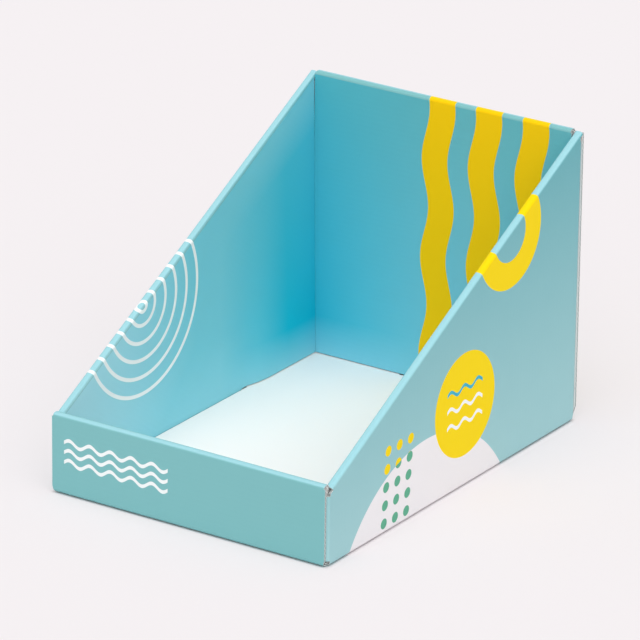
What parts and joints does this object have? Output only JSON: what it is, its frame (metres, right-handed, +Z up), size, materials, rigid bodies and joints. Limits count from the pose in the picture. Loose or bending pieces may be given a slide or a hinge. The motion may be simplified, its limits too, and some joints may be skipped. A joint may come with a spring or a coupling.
{
  "type": "cardboard display tray",
  "caption": "Open-topped countertop display tray folded from one corrugated sheet, with double walls, a low front lip and side walls that slope up to a tall back.",
  "frame": {"origin": "centre of the base, on the surface that the tray stands on", "axes": "+Z up, the low front wall faces -Y, the tall back wall faces +Y, +X to the right seen from the front"},
  "size_m": [0.203, 0.285, 0.194],
  "materials": {
    "printed_board": "matt printed paper liner, white and unprinted on the floor"
  },
  "bodies": {
    "root": {"display_tray": "printed_board"}
  },
  "joints": []
}
